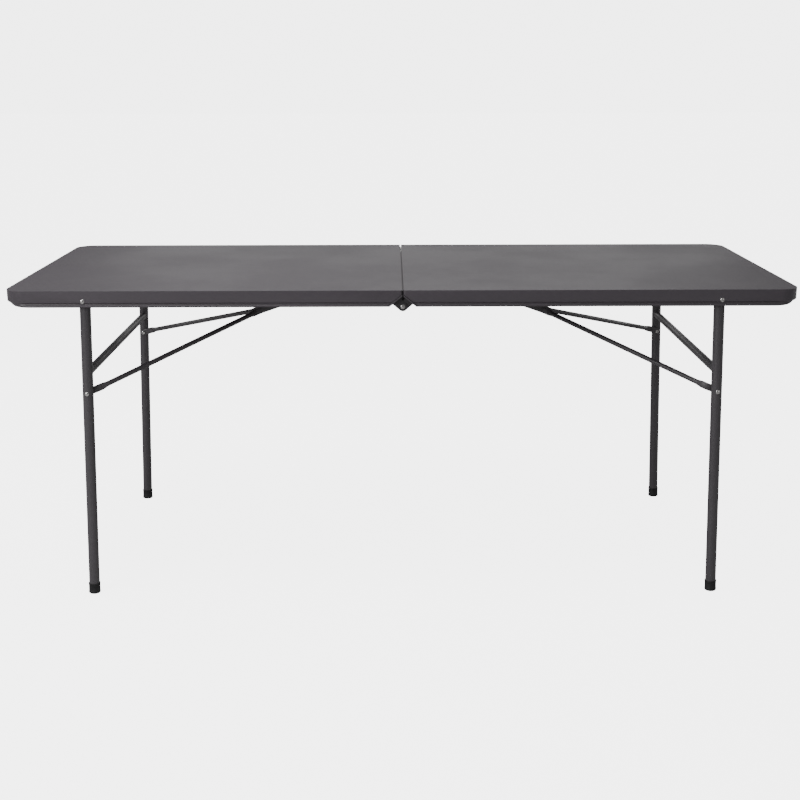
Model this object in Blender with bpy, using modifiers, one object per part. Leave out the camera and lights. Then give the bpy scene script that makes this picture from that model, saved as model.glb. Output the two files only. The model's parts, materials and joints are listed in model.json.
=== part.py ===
"""Fold-in-half table: two plastic halves on a centre hinge, each with a folding tube leg frame and brace.

Metres, +Z up, the floor at z = 0, +X along the table, +Y towards its back long side.
Every piece is placed under an empty that lies on the axis it moves about.
"""

import math

import bmesh
import bpy
from mathutils import Matrix, Vector

# Overall size, standing open
TABLE_LENGTH = 1.80
TABLE_WIDTH = 0.74
TABLE_HEIGHT = 0.74

# Moulded halves
RIM_HEIGHT = 0.038
SEAM_GAP = 0.003
CORNER_RADIUS = 0.045
SEAM_CORNER_RADIUS = 0.003
EDGE_ROUND = 0.004
SLAB_THICKNESS = 0.0125
CHANNEL_SKIN = 0.0085        # plastic left above the folded legs
RIM_WALL = 0.0084            # thinnest part of the long-side rim
END_RIM_WIDTH = 0.038
RECESS_CORNER_RADIUS = 0.022
SEAM_WALL = 0.010
LIP_HEIGHT = 0.0085
LIP_SIDE_INSET = 0.001
LIP_END_INSET = 0.014
LIP_CORNER_RADIUS = 0.060
NOTCH_HALF_WIDTH = 0.031     # inverted V in the rim around the centre hinge
NOTCH_HEIGHT = 0.0248

# Clearances
FIT_GAP = 0.0003             # between pieces that touch
RUNNING_GAP = 0.00035        # around a pin in its hole
LAYER_GAP = 0.0004           # between the two hinge ears
FOOT_SIDE_CLEARANCE = 0.0017
FOOT_TOP_CLEARANCE = 0.001
HINGE_DROP = 0.0007          # hinge axis below the rim
RAIL_TOP_GAP = 0.0005        # between a rail and the slab above it
LINK_SIDE_GAP = 0.0005       # between a link and its bracket's ears
KNUCKLE_GAP = 0.0008         # between a link and the arms beside it

# Side rails and centre hinge
RAIL_THICKNESS = 0.0016
RAIL_HEIGHT = 0.021
RAIL_PAST_PIVOT = 0.065
EAR_RADIUS = 0.0105
EAR_TAPER_START = 0.022
EAR_ARC_END = 75             # degrees above the horizontal, past which the ear meets the rail's end
HINGE_PIN_RADIUS = 0.003
HINGE_HEAD_RADIUS = 0.0053
HEAD_HEIGHT = 0.002

# Leg frames
LEG_SETBACK = 0.179          # pivot from the end of the table
LEG_SPLAY = math.radians(1.9)
LEG_RADIUS = 0.0125
LEG_ABOVE_PIVOT = 0.007
TUBE_WALL = 0.0012
FOOT_WALL = 0.0012
FOOT_HEIGHT = 0.026
FOOT_FLOOR = 0.004
FOOT_ROUND = 0.003
FOOT_TRIM = 0.0004           # sole taken off so that the splayed foot stands flat
CROSSBAR_RADIUS = 0.0095
CROSSBAR_DROP = 0.1715       # below the pivot
BOLT_RADIUS = 0.003
BOLT_HEAD_RADIUS = 0.005

# Folding braces
BRACE_RIVET_DROP = 0.219     # on the leg, below the pivot
BRACE_JOINT_REACH = 0.415    # knuckle from the leg pivot, towards the seam
BRACE_JOINT_DROP = 0.0955    # knuckle below the table's top
BRACE_ANCHOR_DROP = 0.0295   # link pivot below the table's top
BRACE_TUBE_RADIUS = 0.006
BRACE_WALL = 0.0010
BRACE_FLAT_THICKNESS = 0.0024
BRACE_FLAT_WIDTH = 0.0166
BRACE_EYE_LENGTH = 0.008     # flattened end past the rivet
BRACE_LEG_FLAT = 0.020       # flattened length at the leg
BRACE_KNUCKLE_FLAT = 0.062   # length where both arms lie side by side
BRACE_FLATTEN_LENGTH = 0.014
BRACE_BEND_RADIUS = 0.030
LINK_CHEEK_THICKNESS = 0.0015
LINK_INNER_WIDTH = 0.012
LINK_HALF_HEIGHT = 0.007
LINK_WEB_THICKNESS = 0.0014
LINK_WEB_SETBACK = 0.014
BRACKET_THICKNESS = 0.0016
BRACKET_LENGTH = 0.022
BRACKET_HALF_WIDTH = 0.030
BRACKET_SCREW_REACH = 0.022
BRACKET_EYE_RADIUS = 0.0068

# Screws
SCREW_RADIUS = 0.0018
SCREW_HEAD_RADIUS = 0.0034
SCREW_HEAD_HEIGHT = 0.0017
SCREW_LENGTH = 0.0055
RAIL_SCREW_OFFSET = 0.004    # below the rail's top edge
RAIL_SCREW_PLACES = (0.12, 0.46)

STEPS = 24                   # facets round a tube or foot
BOLT_STEPS = 16              # facets round a bolt, a rivet and their holes
SCREW_STEPS = 12
ARM_STEPS = 14
CUTTER_OVERSHOOT = 0.004

# Places worked out from the sizes above. Side is -1 left, +1 right; edge is -1 front, +1 back.
half_length = TABLE_LENGTH / 2
half_width = TABLE_WIDTH / 2
rim_bottom = TABLE_HEIGHT - RIM_HEIGHT
slab_bottom = TABLE_HEIGHT - SLAB_THICKNESS
lip_top = rim_bottom + LIP_HEIGHT
seam_edge = SEAM_GAP / 2
hinge_height = rim_bottom - HINGE_DROP
channel_roof = TABLE_HEIGHT - CHANNEL_SKIN
rail_top = slab_bottom - RAIL_TOP_GAP
rail_bottom = rail_top - RAIL_HEIGHT

# The left rails lie in the outer layer, the right rails in the inner one, so their ears overlap.
rail_outer_face = {-1: half_width - RIM_WALL - FIT_GAP}
rail_outer_face[1] = rail_outer_face[-1] - RAIL_THICKNESS - LAYER_GAP
rail_inner_face = {side: face - RAIL_THICKNESS for side, face in rail_outer_face.items()}
recess_half_width = {side: face + FIT_GAP for side, face in rail_outer_face.items()}

foot_radius = LEG_RADIUS + FIT_GAP + FOOT_WALL
leg_offset = rail_inner_face[1] - FOOT_SIDE_CLEARANCE - foot_radius
pivot_x = half_length - LEG_SETBACK
pivot_z = channel_roof - FOOT_TOP_CLEARANCE - foot_radius
channel_inner = leg_offset - foot_radius - FOOT_TOP_CLEARANCE
bolt_hole = BOLT_RADIUS + RUNNING_GAP
link_cheek_outer = LINK_INNER_WIDTH / 2 + LINK_CHEEK_THICKNESS
knuckle_offset = link_cheek_outer + KNUCKLE_GAP + BRACE_FLAT_THICKNESS / 2
brace_leg_offset = leg_offset - LEG_RADIUS - FIT_GAP - BRACE_FLAT_THICKNESS / 2
bracket_inner = link_cheek_outer + LINK_SIDE_GAP
bracket_outer = bracket_inner + BRACKET_THICKNESS
bracket_top = slab_bottom - FIT_GAP


def leg_point(drop):
    """(x, z) on the right leg's axis, at a height below the pivot."""
    return Vector((pivot_x + drop * math.tan(LEG_SPLAY), pivot_z - drop))


def folded_point(drop):
    """The same point with the leg folded flat against the slab."""
    return Vector((pivot_x - drop / math.cos(LEG_SPLAY), pivot_z))


brace_rivet = leg_point(BRACE_RIVET_DROP)
knuckle = Vector((pivot_x - BRACE_JOINT_REACH, TABLE_HEIGHT - BRACE_JOINT_DROP))


def brace_anchor():
    """Link pivot (x, z) at which the brace lies in one line when the leg is folded.

    Arm minus link must equal the distance from the folded rivet to the anchor, so the anchor lies on
    the ellipse about the knuckle and the folded rivet whose distances add up to the arm's length.
    """
    rivet = folded_point(BRACE_RIVET_DROP)
    arm = (brace_rivet - knuckle).length
    z = TABLE_HEIGHT - BRACE_ANCHOR_DROP
    slope = -2 * (knuckle.x - rivet.x) / arm
    offset = (knuckle.x**2 - rivet.x**2 + (z - knuckle.y)**2 - (z - rivet.y)**2) / arm
    # link = (arm + slope * x + offset) / 2, and link^2 = (x - knuckle.x)^2 + (z - knuckle.y)^2
    a = 1 - slope**2 / 4
    b = -2 * knuckle.x - slope * (arm + offset) / 2
    c = knuckle.x**2 + (z - knuckle.y)**2 - (arm + offset)**2 / 4
    return Vector(((-b - math.sqrt(b * b - 4 * a * c)) / (2 * a), z))


anchor = brace_anchor()

for old in list(bpy.data.objects):
    bpy.data.objects.remove(old)
table = bpy.data.collections.new("folding_table")
cutters = bpy.data.collections.new("cutters")
for collection in (table, cutters):
    bpy.context.scene.collection.children.link(collection)
cutters.hide_render = True

SIDE_NAMES = {-1: "left", 1: "right"}
EDGE_NAMES = {-1: "front", 1: "back"}
SIDES = (-1, 1)
CORNERS = [(side, edge) for side in SIDES for edge in (-1, 1)]
FLAT = Matrix.Identity(4)                                                 # outline in X and Y
UPRIGHT_XZ = Matrix(((1, 0, 0, 0), (0, 0, -1, 0), (0, 1, 0, 0), (0, 0, 0, 1)))


def make_material(name, color, roughness, metallic):
    material = bpy.data.materials.new(name)
    material.use_nodes = True
    shader = material.node_tree.nodes["Principled BSDF"]
    shader.inputs["Base Color"].default_value = (*color, 1)
    shader.inputs["Roughness"].default_value = roughness
    shader.inputs["Metallic"].default_value = metallic
    return material


top_plastic = make_material("top_plastic", (0.115, 0.108, 0.112), 0.5, 0)
frame_paint = make_material("frame_paint", (0.05, 0.05, 0.052), 0.42, 0.3)
hinge_paint = make_material("hinge_paint", (0.035, 0.035, 0.037), 0.4, 0.3)
bright_steel = make_material("bright_steel", (0.62, 0.62, 0.63), 0.25, 1)
foot_plastic = make_material("foot_plastic", (0.012, 0.012, 0.013), 0.45, 0)


def make_axis(name, x, z):
    """An empty on a joint's axis, which runs along Y."""
    axis = bpy.data.objects.new(name, None)
    axis.location = (x, 0, z)
    table.objects.link(axis)
    return axis


half_axes = {side: make_axis(f"axis_top_{SIDE_NAMES[side]}", 0, hinge_height) for side in SIDES}
leg_axes = {side: make_axis(f"axis_legs_{SIDE_NAMES[side]}", side * pivot_x, pivot_z) for side in SIDES}
arm_axes = {
    side: make_axis(f"axis_brace_{SIDE_NAMES[side]}", side * brace_rivet.x, brace_rivet.y) for side in SIDES
}
link_axes = {side: make_axis(f"axis_link_{SIDE_NAMES[side]}", side * anchor.x, anchor.y) for side in SIDES}


def add_piece(name, mesh, axis, material):
    """A mesh in world coordinates becomes a piece whose origin is on its axis."""
    mesh.transform(Matrix.Translation(-axis.location))
    mesh.materials.clear()
    mesh.materials.append(material)
    piece = bpy.data.objects.new(name, mesh)
    piece.parent = axis
    table.objects.link(piece)
    return piece


def add_cutter(name, mesh):
    cutter = bpy.data.objects.new(name, mesh)
    cutter.hide_render = True
    cutter.display_type = "WIRE"
    cutters.objects.link(cutter)
    return cutter


def boolean(piece, cutter, operation="DIFFERENCE"):
    modifier = piece.modifiers.new(cutter.name, "BOOLEAN")
    modifier.operation = operation
    modifier.object = cutter


def circle(x, y, radius, steps=BOLT_STEPS):
    return [
        (x + radius * math.cos(2 * math.pi * i / steps), y + radius * math.sin(2 * math.pi * i / steps))
        for i in range(steps)
    ]


def arc(x, y, radius, start, end, steps):
    """Points round a centre, angles in degrees."""
    angles = [math.radians(start + (end - start) * i / steps) for i in range(steps + 1)]
    return [(x + radius * math.cos(a), y + radius * math.sin(a)) for a in angles]


def box_outline(low, high):
    return [(low[0], low[1]), (high[0], low[1]), (high[0], high[1]), (low[0], high[1])]


def extruded(outlines, low, high, turn=FLAT):
    """Flat outlines, the inner ones holes, filled and extruded from low to high along the turned Z."""
    curve = bpy.data.curves.new("outline", "CURVE")
    curve.dimensions = "2D"
    curve.fill_mode = "BOTH"
    curve.extrude = (high - low) / 2
    for points in outlines:
        spline = curve.splines.new("POLY")
        spline.points.add(len(points) - 1)
        for point, (x, y) in zip(spline.points, points):
            point.co = (x, y, 0, 1)
        spline.use_cyclic_u = True
    sheet = bpy.data.objects.new("outline", curve)
    sheet.matrix_world = turn @ Matrix.Translation((0, 0, (low + high) / 2))
    bpy.context.scene.collection.objects.link(sheet)
    bpy.context.view_layer.update()
    evaluated = sheet.evaluated_get(bpy.context.evaluated_depsgraph_get())
    mesh = bpy.data.meshes.new_from_object(evaluated)
    mesh.transform(sheet.matrix_world)
    bpy.data.objects.remove(sheet)
    clean = bmesh.new()
    clean.from_mesh(mesh)
    bmesh.ops.remove_doubles(clean, verts=clean.verts, dist=1e-6)
    bmesh.ops.recalc_face_normals(clean, faces=clean.faces)
    bmesh.ops.dissolve_limit(clean, angle_limit=math.radians(1), verts=clean.verts, edges=clean.edges)
    clean.to_mesh(mesh)
    clean.free()
    return mesh


def round_edges_at(mesh, height, radius):
    """Rounds the outline edge that a plate has at this height."""
    plate = bmesh.new()
    plate.from_mesh(mesh)
    rim = [
        edge for edge in plate.edges
        if all(abs(vert.co.z - height) < 1e-6 for vert in edge.verts) and edge.calc_face_angle() > 1
    ]
    bmesh.ops.bevel(plate, geom=rim, offset=radius, segments=3, profile=0.5, affect="EDGES", material=-1)
    plate.to_mesh(mesh)
    plate.free()
    return mesh


def rod_mesh(start, end, radius, steps=BOLT_STEPS):
    """A plain cylinder between two points, for cutters."""
    start, end = Vector(start), Vector(end)
    rod = bmesh.new()
    bmesh.ops.create_cone(
        rod, cap_ends=True, segments=steps, radius1=radius, radius2=radius, depth=(end - start).length
    )
    turn = (end - start).to_track_quat("Z", "Y").to_matrix().to_4x4()
    rod.transform(Matrix.Translation((start + end) / 2) @ turn)
    mesh = bpy.data.meshes.new("rod")
    rod.to_mesh(mesh)
    rod.free()
    return mesh


def turned(name, axis, start, direction, profile, material, closed=False, steps=STEPS):
    """A profile of (radius, height) points, top to bottom on its outer side, spun about a line."""
    mesh = bpy.data.meshes.new(name)
    count = len(profile)
    edges = [(i, i + 1) for i in range(count - 1)] + ([(count - 1, 0)] if closed else [])
    mesh.from_pydata([(radius, 0, height) for radius, height in profile], edges, [])
    mesh.materials.append(material)
    piece = bpy.data.objects.new(name, mesh)
    piece.parent = axis
    piece.location = Vector(start) - axis.location
    piece.rotation_euler = Vector(direction).to_track_quat("Z", "Y").to_euler()
    screw = piece.modifiers.new("turn", "SCREW")
    screw.axis = "Z"
    screw.steps = screw.render_steps = steps
    screw.use_merge_vertices = True
    screw.merge_threshold = 1e-5
    screw.use_smooth_shade = True
    table.objects.link(piece)
    return piece


def dome(radius, height, steps):
    """A rivet head's profile, from its crown down to its edge."""
    return [
        (radius * math.sin(math.pi / 2 * i / steps), height * math.cos(math.pi / 2 * i / steps))
        for i in range(steps + 1)
    ]


def rivet(name, axis, x, z, edge, near, far, shank, head, tail=None):
    """A rivet along Y. Its domed head stands on the outer face at far, and its shank ends at near."""
    grip = far - near
    profile = dome(head, HEAD_HEIGHT, 3) + [(shank, 0), (shank, -grip)]
    if tail:
        profile += [(tail, -grip), (tail, -grip - HEAD_HEIGHT)]
        profile.append((0, -grip - HEAD_HEIGHT))
    else:
        profile.append((0, -grip))
    return turned(name, axis, (x, edge * far, z), (0, edge, 0), profile, bright_steel, steps=BOLT_STEPS)


def screw(name, axis, seat, inward):
    """A pan-head screw whose head's underside is at seat and whose shank points inward."""
    profile = dome(SCREW_HEAD_RADIUS, SCREW_HEAD_HEIGHT, 2) + [
        (SCREW_RADIUS, 0),
        (SCREW_RADIUS, -SCREW_LENGTH + SCREW_RADIUS),
        (0, -SCREW_LENGTH),
    ]
    return turned(name, axis, seat, -Vector(inward), profile, bright_steel, steps=SCREW_STEPS)


def half_outline(side, start, end, y, start_radius, end_radius):
    """A half's plan outline from the seam end to the outer end, with its corners rounded."""
    points = arc(end - end_radius, y - end_radius, end_radius, 90, 0, 8)
    points += arc(end - end_radius, -y + end_radius, end_radius, 0, -90, 8)
    if start_radius:
        points += arc(start + start_radius, -y + start_radius, start_radius, -90, -180, 3)
        points += arc(start + start_radius, y - start_radius, start_radius, 180, 90, 3)
    else:
        points += [(start, -y), (start, y)]
    return [(side * x, y_place) for x, y_place in points]


def rail_screw_spots(side):
    return [(side * place, rail_top - RAIL_SCREW_OFFSET) for place in RAIL_SCREW_PLACES]


def build_half(side):
    name = f"top_{SIDE_NAMES[side]}"
    outline = half_outline(side, seam_edge, half_length, half_width, SEAM_CORNER_RADIUS, CORNER_RADIUS)
    shell = round_edges_at(extruded([outline], lip_top, TABLE_HEIGHT), TABLE_HEIGHT, EDGE_ROUND)
    half = add_piece(name, shell, half_axes[side], top_plastic)

    lip_outline = half_outline(
        side, seam_edge, half_length - LIP_END_INSET, half_width - LIP_SIDE_INSET, SEAM_CORNER_RADIUS,
        LIP_CORNER_RADIUS,
    )
    lip = add_cutter(f"{name}_lip", extruded([lip_outline], rim_bottom, lip_top + LIP_SIDE_INSET))
    boolean(half, lip, "UNION")

    below = rim_bottom - CUTTER_OVERSHOOT
    wall_y = recess_half_width[side]
    recess_outline = half_outline(
        side, seam_edge + SEAM_WALL, half_length - END_RIM_WIDTH, wall_y, 0, RECESS_CORNER_RADIUS
    )
    boolean(half, add_cutter(f"{name}_recess", extruded([recess_outline], below, slab_bottom)))

    sweep_end = pivot_x + math.hypot(LEG_RADIUS, LEG_ABOVE_PIVOT) + FOOT_TOP_CLEARANCE
    for edge in (-1, 1):
        edge_name = EDGE_NAMES[edge]
        channel = box_outline((0, edge * channel_inner), (side * sweep_end, edge * wall_y))
        boolean(half, add_cutter(f"{name}_channel_{edge_name}", extruded([channel], below, channel_roof)))
        notch = [
            (-NOTCH_HALF_WIDTH, below), (NOTCH_HALF_WIDTH, below), (NOTCH_HALF_WIDTH, rim_bottom),
            (0, rim_bottom + NOTCH_HEIGHT), (-NOTCH_HALF_WIDTH, rim_bottom),
        ]
        depths = sorted((-edge * (wall_y - CUTTER_OVERSHOOT), -edge * (half_width + CUTTER_OVERSHOOT)))
        boolean(half, add_cutter(f"{name}_notch_{edge_name}", extruded([notch], *depths, UPRIGHT_XZ)))
        bore = rod_mesh(
            (side * pivot_x, edge * (wall_y - CUTTER_OVERSHOOT), pivot_z),
            (side * pivot_x, edge * (half_width + CUTTER_OVERSHOOT), pivot_z), bolt_hole,
        )
        boolean(half, add_cutter(f"{name}_bolt_hole_{edge_name}", bore))
        for index, (x, z) in enumerate(rail_screw_spots(side)):
            depth = rail_inner_face[side] + SCREW_LENGTH + FIT_GAP
            hole = rod_mesh(
                (x, edge * (wall_y - CUTTER_OVERSHOOT), z), (x, edge * depth, z), SCREW_RADIUS + FIT_GAP
            )
            boolean(half, add_cutter(f"{name}_screw_hole_{edge_name}_{index}", hole))
    for edge in (-1, 1):
        spot = (side * anchor.x, edge * BRACKET_SCREW_REACH)
        hole = rod_mesh(
            (*spot, below), (*spot, bracket_top - BRACKET_THICKNESS + SCREW_LENGTH + FIT_GAP),
            SCREW_RADIUS + FIT_GAP,
        )
        boolean(half, add_cutter(f"{name}_bracket_hole_{EDGE_NAMES[edge]}", hole))


def build_rail(side, edge):
    """A flat steel rail inside the rim. Its end near the seam narrows to the hinge ear."""
    # The taper's lower edge touches the ear's circle.
    corner = Vector((-EAR_TAPER_START, rail_bottom - hinge_height))
    tangent = math.degrees(math.atan2(corner.y, corner.x) + math.acos(EAR_RADIUS / corner.length))
    ear = arc(0, hinge_height, EAR_RADIUS, tangent, 360 + EAR_ARC_END, 14)
    shoulder = (-EAR_RADIUS, rail_top)
    far = -(pivot_x + RAIL_PAST_PIVOT)
    outline = [(far, rail_bottom), (-EAR_TAPER_START, rail_bottom), *ear, shoulder, (far, rail_top)]
    outline = [(-side * x, z) for x, z in outline]
    holes = [circle(0, hinge_height, HINGE_PIN_RADIUS + RUNNING_GAP)]
    holes.append(circle(side * pivot_x, pivot_z, bolt_hole))
    holes += [circle(x, z, SCREW_RADIUS + FIT_GAP) for x, z in rail_screw_spots(side)]
    depths = sorted((-edge * rail_inner_face[side], -edge * rail_outer_face[side]))
    mesh = extruded([outline, *holes], *depths, UPRIGHT_XZ)
    label = f"{SIDE_NAMES[side]}_{EDGE_NAMES[edge]}"
    add_piece(f"side_rail_{label}", mesh, half_axes[side], hinge_paint)
    for index, (x, z) in enumerate(rail_screw_spots(side)):
        seat = (x, edge * (rail_inner_face[side] - FIT_GAP), z)
        screw(f"rail_screw_{label}_{index + 1}", half_axes[side], seat, (0, edge, 0))


def build_leg(side, edge):
    """One leg tube with its plastic foot, the bolt it turns on and the rivet that holds the brace."""
    label = f"{SIDE_NAMES[side]}_{EDGE_NAMES[edge]}"
    up = Vector((-side * math.sin(LEG_SPLAY), 0, math.cos(LEG_SPLAY)))
    pivot = Vector((side * pivot_x, edge * leg_offset, pivot_z))
    sole = pivot - up * (pivot_z + FOOT_TRIM) / math.cos(LEG_SPLAY)
    length = (pivot - sole).length + LEG_ABOVE_PIVOT
    low = FOOT_FLOOR + FIT_GAP
    bore = LEG_RADIUS - TUBE_WALL
    leg = turned(
        f"leg_{label}", leg_axes[side], sole, up,
        [(LEG_RADIUS, length), (LEG_RADIUS, low), (bore, low), (bore, length)], frame_paint, closed=True,
    )
    across = leg_offset - LEG_RADIUS - CUTTER_OVERSHOOT, leg_offset + LEG_RADIUS + CUTTER_OVERSHOOT
    for hole, (x, z) in (("pivot", (pivot_x, pivot_z)), ("brace", brace_rivet)):
        mesh = rod_mesh((side * x, edge * across[0], z), (side * x, edge * across[1], z), bolt_hole)
        boolean(leg, add_cutter(f"leg_{label}_{hole}_hole", mesh))

    sleeve = LEG_RADIUS + FIT_GAP
    foot = turned(
        f"foot_{label}", leg_axes[side], sole, up,
        [(0, FOOT_FLOOR), (sleeve, FOOT_FLOOR), (sleeve, FOOT_HEIGHT), (foot_radius, FOOT_HEIGHT),
         (foot_radius, FOOT_ROUND), (foot_radius - FOOT_ROUND / 3, FOOT_ROUND / 3),
         (foot_radius - FOOT_ROUND, 0), (0, 0)],
        foot_plastic,
    )
    boolean(foot, floor)

    leg_inner, leg_outer = leg_offset - LEG_RADIUS, leg_offset + LEG_RADIUS
    rivet(
        f"leg_bolt_{label}", half_axes[side], side * pivot_x, pivot_z, edge, leg_inner - FIT_GAP,
        half_width + FIT_GAP, BOLT_RADIUS, BOLT_HEAD_RADIUS, tail=BOLT_HEAD_RADIUS,
    )
    rivet(
        f"brace_rivet_{label}", leg_axes[side], side * brace_rivet.x, brace_rivet.y, edge,
        leg_inner - BRACE_FLAT_THICKNESS - 2 * FIT_GAP, leg_outer + FIT_GAP, BOLT_RADIUS,
        BOLT_HEAD_RADIUS, tail=BOLT_HEAD_RADIUS,
    )


def build_crossbar(side):
    """The tube that ties a frame's two legs, its ends coped to fit them."""
    x, z = leg_point(CROSSBAR_DROP)
    bore = CROSSBAR_RADIUS - TUBE_WALL
    crossbar = turned(
        f"crossbar_{SIDE_NAMES[side]}", leg_axes[side], (side * x, 0, z), (0, 1, 0),
        [(CROSSBAR_RADIUS, leg_offset), (CROSSBAR_RADIUS, -leg_offset), (bore, -leg_offset),
         (bore, leg_offset)],
        frame_paint, closed=True,
    )
    reach = 2 * CROSSBAR_RADIUS
    for edge in (-1, 1):
        top, bottom = leg_point(CROSSBAR_DROP - reach), leg_point(CROSSBAR_DROP + reach)
        cope = rod_mesh(
            (side * top.x, edge * leg_offset, top.y), (side * bottom.x, edge * leg_offset, bottom.y),
            LEG_RADIUS + FIT_GAP, STEPS,
        )
        boolean(crossbar, add_cutter(f"crossbar_{SIDE_NAMES[side]}_cope_{EDGE_NAMES[edge]}", cope))


def arm_stations(length):
    """Stations (along, across, heading) of a brace arm from its leg rivet, both bends rounded."""
    bend_start, bend_end = BRACE_LEG_FLAT, length - BRACE_KNUCKLE_FLAT
    span = bend_end - bend_start
    drop = brace_leg_offset - knuckle_offset
    slant = math.atan2(drop, span)
    tangent = BRACE_BEND_RADIUS * math.tan(slant / 2)
    stations = [(-BRACE_EYE_LENGTH, brace_leg_offset, 0)]
    steps = 3
    for i in range(steps + 1):
        turn = slant * i / steps
        stations.append((
            bend_start - tangent + BRACE_BEND_RADIUS * math.sin(turn),
            brace_leg_offset - BRACE_BEND_RADIUS * (1 - math.cos(turn)), turn,
        ))
    for i in range(steps + 1):
        turn = slant * (1 - i / steps)
        stations.append((
            bend_end + tangent - BRACE_BEND_RADIUS * math.sin(turn),
            knuckle_offset + BRACE_BEND_RADIUS * (1 - math.cos(turn)), turn,
        ))
    stations.append((length + BRACE_EYE_LENGTH, knuckle_offset, 0))
    return stations


def section(thickness, width, wall):
    """Half-round-ended section: a circle when both sizes are equal, flat when they differ."""
    thin, wide = thickness / 2 - wall, width / 2 - wall
    points = []
    for i in range(ARM_STEPS):
        angle = 2 * math.pi * (i + 0.5) / ARM_STEPS
        points.append((
            thin * math.cos(angle), math.copysign(wide - thin, math.sin(angle)) + thin * math.sin(angle)
        ))
    return points


def build_arm(side, edge):
    """A brace arm: round tube, both ends squashed flat, lofted along its bent centre line."""
    along = (knuckle - brace_rivet).normalized()
    length = (knuckle - brace_rivet).length
    bends = arm_stations(length)
    half = len(bends) // 2
    start, across_start, heading = bends[half - 1]
    straight = [
        (place, across_start - (place - start) * math.tan(heading), heading)
        for place in (start + BRACE_FLATTEN_LENGTH, bends[half][0] - BRACE_FLATTEN_LENGTH)
    ]
    stations = bends[:half] + straight + bends[half:]
    flat, round_size = (BRACE_FLAT_THICKNESS, BRACE_FLAT_WIDTH), (2 * BRACE_TUBE_RADIUS,) * 2

    loft = bmesh.new()
    skins = []
    for wall in (0, BRACE_WALL):
        rings = []
        for index, (distance, across, turn) in enumerate(stations):
            size = round_size if index in (half, half + 1) else flat
            ring = []
            for thin, wide in section(*size, wall):
                u = distance + thin * math.sin(turn)
                ring.append(loft.verts.new((
                    side * (brace_rivet.x + u * along.x - wide * along.y),
                    edge * (across + thin * math.cos(turn)),
                    brace_rivet.y + u * along.y + wide * along.x,
                )))
            rings.append(ring)
        skins.append(rings)
    outer, inner = skins
    bands = [pair for rings in skins for pair in zip(rings, rings[1:])]
    bands += [(outer[0], inner[0]), (outer[-1], inner[-1])]
    for first, second in bands:
        count = len(first)
        for i in range(count):
            j = (i + 1) % count
            loft.faces.new((first[i], first[j], second[j], second[i]))
    bmesh.ops.recalc_face_normals(loft, faces=loft.faces)
    mesh = bpy.data.meshes.new("arm")
    loft.to_mesh(mesh)
    loft.free()
    mesh.shade_smooth()
    mesh.set_sharp_from_angle(angle=math.radians(40))

    label = f"{SIDE_NAMES[side]}_{EDGE_NAMES[edge]}"
    arm = add_piece(f"brace_arm_{label}", mesh, arm_axes[side], frame_paint)
    for end, place, across in (("leg", brace_rivet, brace_leg_offset), ("knuckle", knuckle, knuckle_offset)):
        reach = BRACE_FLAT_THICKNESS
        hole = rod_mesh(
            (side * place.x, edge * (across - reach), place.y),
            (side * place.x, edge * (across + reach), place.y), bolt_hole,
        )
        boolean(arm, add_cutter(f"brace_arm_{label}_{end}_hole", hole))
    # The knuckle is open: its rivet is two studs that stop short of the link between them.
    outer_face = knuckle_offset + BRACE_FLAT_THICKNESS / 2 + FIT_GAP
    rivet(
        f"knuckle_rivet_{label}", arm_axes[side], side * knuckle.x, knuckle.y, edge,
        link_cheek_outer + FIT_GAP, outer_face, BOLT_RADIUS, BOLT_HEAD_RADIUS,
    )


def build_link(side):
    """The short upper link, a channel pressed from sheet with an eye at each end of its cheeks."""
    vector = knuckle - anchor
    length = vector.length
    along, across = vector / length, Vector((-vector.y, vector.x)) / length

    def place(points):
        return [tuple(Vector((side, 1)) * (anchor + along * u + across * v)) for u, v in points]

    outline = arc(length, 0, LINK_HALF_HEIGHT, -90, 90, 8) + arc(0, 0, LINK_HALF_HEIGHT, 90, 270, 8)
    half = link_cheek_outer
    mesh = extruded([place(outline)], -half, half, UPRIGHT_XZ)
    link = add_piece(f"brace_link_{SIDE_NAMES[side]}", mesh, link_axes[side], frame_paint)
    margin = LINK_HALF_HEIGHT + CUTTER_OVERSHOOT
    web = -LINK_HALF_HEIGHT + LINK_WEB_THICKNESS
    inside = [
        (-margin, -margin), (LINK_WEB_SETBACK, -margin), (LINK_WEB_SETBACK, web),
        (length - LINK_WEB_SETBACK, web), (length - LINK_WEB_SETBACK, -margin), (length + margin, -margin),
        (length + margin, margin), (-margin, margin),
    ]
    gap = LINK_INNER_WIDTH / 2
    name = f"brace_link_{SIDE_NAMES[side]}"
    boolean(link, add_cutter(f"{name}_inside", extruded([place(inside)], -gap, gap, UPRIGHT_XZ)))
    for end, (x, z) in (("anchor", anchor), ("knuckle", knuckle)):
        reach = half + CUTTER_OVERSHOOT
        hole = rod_mesh((side * x, -reach, z), (side * x, reach, z), bolt_hole)
        boolean(link, add_cutter(f"{name}_{end}_hole", hole))


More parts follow.
